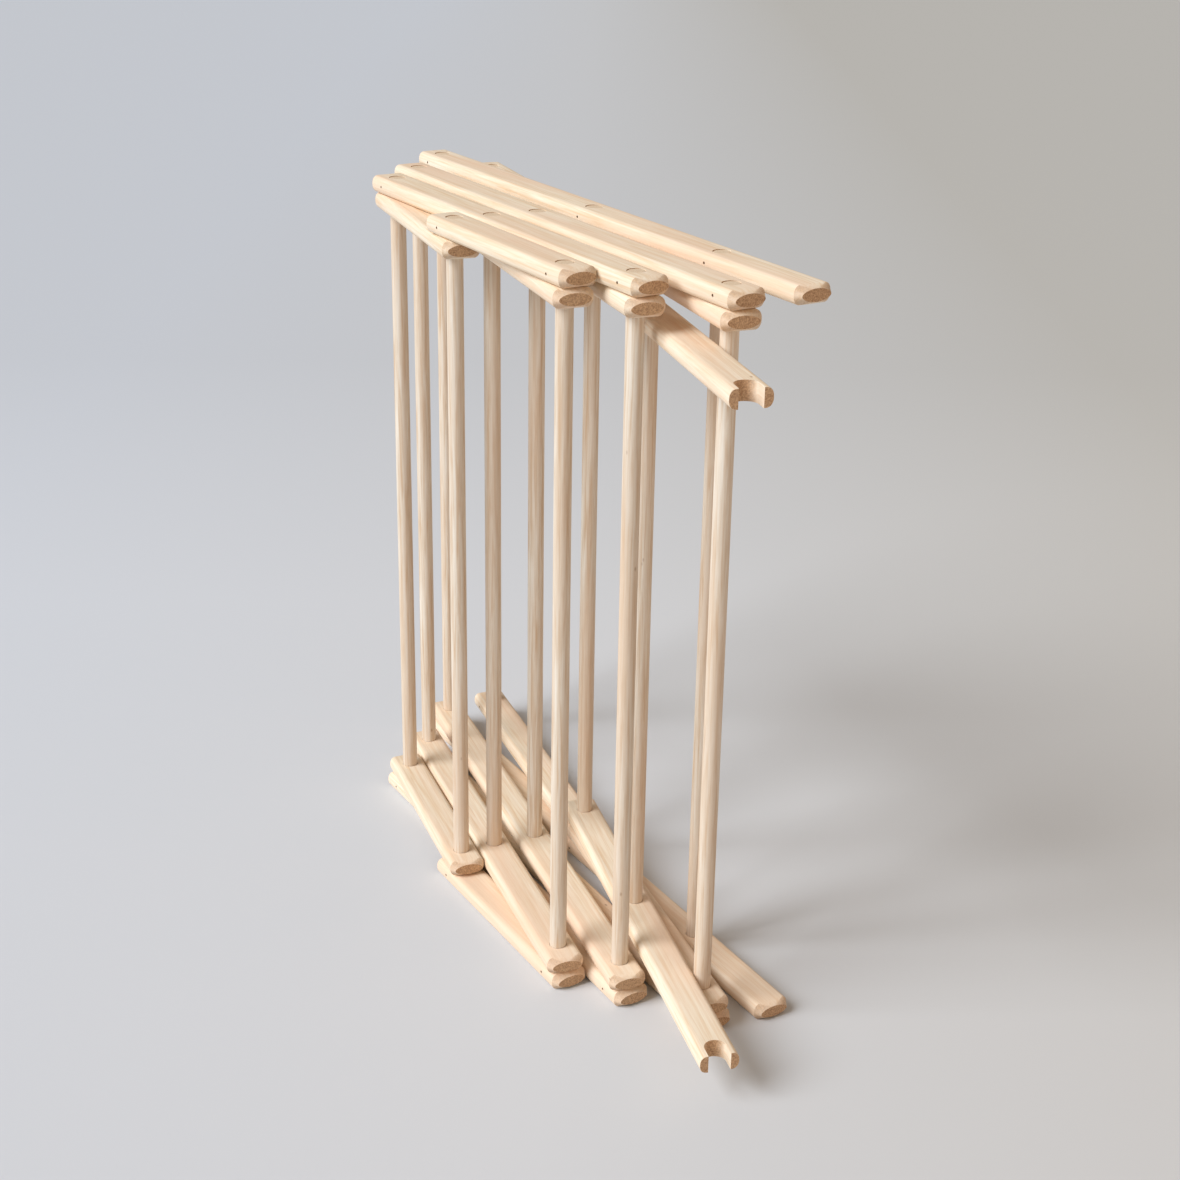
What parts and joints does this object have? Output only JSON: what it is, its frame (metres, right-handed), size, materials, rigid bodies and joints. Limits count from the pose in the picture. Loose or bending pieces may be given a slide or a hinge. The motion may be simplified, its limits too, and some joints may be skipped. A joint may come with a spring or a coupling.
{
  "type": "clothes drying rack",
  "caption": "Folding wooden clothes drying rack with lazy-tongs slat sides, round rods and notched locking arms, folded flat and lying on its side.",
  "frame": {"origin": "middle of the bounding box in plan, on the plane that the outer faces of the left side lie on", "axes": "+X along the outer slats towards the feet, +Z along the rods from the left side to the right side, +Y towards the foot of the inner legs"},
  "size_m": [0.6362, 0.1946, 0.556],
  "materials": {
    "slat_wood": "sanded, unfinished",
    "rod_wood": "sanded, unfinished",
    "brad_steel": "dull"
  },
  "bodies": {
    "outer_legs": {"slat_outer_1_left": "slat_wood", "slat_outer_1_right": "slat_wood", "rod_back_1": "rod_wood", "brad_back_1_left": "brad_steel", "brad_back_1_right": "brad_steel", "rod_cross_1": "rod_wood", "brad_cross_1_left": "brad_steel", "brad_cross_1_right": "brad_steel", "rod_foot_outer": "rod_wood", "brad_foot_outer_left": "brad_steel", "brad_foot_outer_right": "brad_steel"},
    "inner_legs": {"slat_inner_1_left": "slat_wood", "slat_inner_1_right": "slat_wood", "rod_foot_inner": "rod_wood", "brad_foot_inner_left": "brad_steel", "brad_foot_inner_right": "brad_steel"},
    "outer_slats_2": {"slat_outer_2_left": "slat_wood", "slat_outer_2_right": "slat_wood", "rod_back_2": "rod_wood", "brad_back_2_left": "brad_steel", "brad_back_2_right": "brad_steel", "rod_cross_2": "rod_wood", "brad_cross_2_left": "brad_steel", "brad_cross_2_right": "brad_steel", "rod_front_1": "rod_wood", "brad_front_1_left": "brad_steel", "brad_front_1_right": "brad_steel"},
    "inner_slats_2": {"slat_inner_2_left": "slat_wood", "slat_inner_2_right": "slat_wood"},
    "outer_slats_3": {"slat_outer_3_left": "slat_wood", "slat_outer_3_right": "slat_wood", "rod_back_3": "rod_wood", "brad_back_3_left": "brad_steel", "brad_back_3_right": "brad_steel", "rod_cross_3": "rod_wood", "brad_cross_3_left": "brad_steel", "brad_cross_3_right": "brad_steel", "rod_front_2": "rod_wood", "brad_front_2_left": "brad_steel", "brad_front_2_right": "brad_steel"},
    "inner_slats_3": {"slat_inner_3_left": "slat_wood", "slat_inner_3_right": "slat_wood"},
    "outer_slats_4": {"slat_outer_4_left": "slat_wood", "slat_outer_4_right": "slat_wood", "rod_top": "rod_wood", "brad_top_left": "brad_steel", "brad_top_right": "brad_steel", "rod_front_3": "rod_wood", "brad_front_3_left": "brad_steel", "brad_front_3_right": "brad_steel"},
    "inner_slats_4": {"slat_inner_4_left": "slat_wood", "slat_inner_4_right": "slat_wood"},
    "notched_arms": {"arm_left": "slat_wood", "arm_right": "slat_wood", "rod_arm": "rod_wood", "brad_arm_left": "brad_steel", "brad_arm_right": "brad_steel"}
  },
  "joints": [
    {"name": "fold", "type": "hinge", "parent": "outer_legs", "child": "inner_legs", "pos_m": [-0.03539, 0.03281, 0.278], "axis": [0, 0, -1], "range_deg": [0, 85]},
    {"name": "arm_swing", "type": "hinge", "parent": "inner_legs", "child": "notched_arms", "pos_m": [-0.03539, 0.03281, 0.278], "axis": [0, 0, -1], "range_deg": [0, 38]},
    {"name": "outer_2_turn", "type": "hinge", "parent": "inner_legs", "child": "outer_slats_2", "pos_m": [0.21944, -0.0135, 0.278], "axis": [0, 0, -1], "range_deg": [-85, 0]},
    {"name": "inner_2_turn", "type": "hinge", "parent": "outer_slats_2", "child": "inner_slats_2", "pos_m": [-0.03956, -0.0135, 0.278], "axis": [0, 0, -1], "range_deg": [0, 85]},
    {"name": "outer_3_turn", "type": "hinge", "parent": "inner_slats_2", "child": "outer_slats_3", "pos_m": [0.16214, -0.05015, 0.278], "axis": [0, 0, -1], "range_deg": [-85, 0]},
    {"name": "inner_3_turn", "type": "hinge", "parent": "outer_slats_3", "child": "inner_slats_3", "pos_m": [-0.04286, -0.05015, 0.278], "axis": [0, 0, -1], "range_deg": [0, 85]},
    {"name": "outer_4_turn", "type": "hinge", "parent": "inner_slats_3", "child": "outer_slats_4", "pos_m": [0.11948, -0.07965, 0.278], "axis": [0, 0, -1], "range_deg": [-85, 0]},
    {"name": "inner_4_turn", "type": "hinge", "parent": "outer_slats_3", "child": "inner_slats_4", "pos_m": [-0.20786, -0.05015, 0.278], "axis": [0, 0, -1], "range_deg": [0, 85]}
  ],
  "couplings": [
    {"joint": "arm_swing", "follows": "fold", "ratio": 0.4455},
    {"joint": "outer_2_turn", "follows": "fold", "ratio": -1},
    {"joint": "inner_2_turn", "follows": "fold", "ratio": 1},
    {"joint": "outer_3_turn", "follows": "fold", "ratio": -1},
    {"joint": "inner_3_turn", "follows": "fold", "ratio": 1},
    {"joint": "outer_4_turn", "follows": "fold", "ratio": -1},
    {"joint": "inner_4_turn", "follows": "fold", "ratio": 1}
  ]
}
